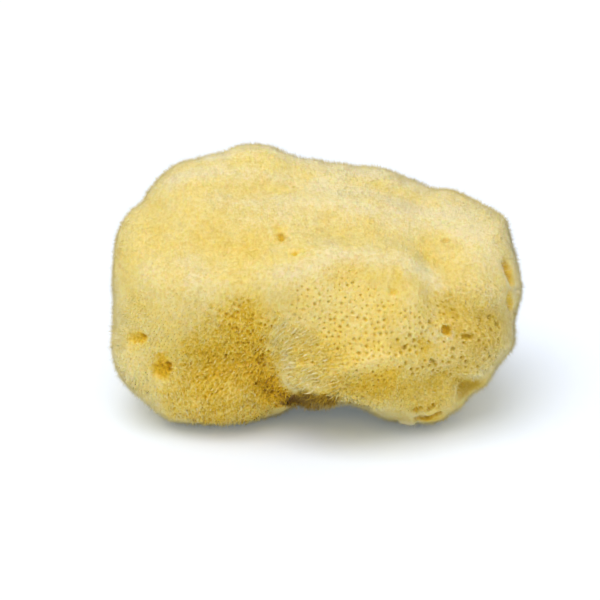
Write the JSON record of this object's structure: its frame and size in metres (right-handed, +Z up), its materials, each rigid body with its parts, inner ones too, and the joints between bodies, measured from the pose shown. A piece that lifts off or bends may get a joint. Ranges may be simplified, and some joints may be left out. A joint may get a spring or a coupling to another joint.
{
  "type": "sea sponge",
  "caption": "Dry natural sea sponge that lies on its side: soft rounded lobes with small water outlets, for washing or as sea decor.",
  "frame": {"origin": "middle of the bounding box at the surface that the sponge lies on", "axes": "+X along the sponge towards its lower end, +Y to its back and +Z up, with the cleft between the feet on the -Y side"},
  "size_m": [0.1009, 0.07, 0.0628],
  "materials": {
    "fibre": "dry, matt and velvety, straw yellow"
  },
  "bodies": {
    "root": {"sponge": "fibre"}
  },
  "joints": []
}
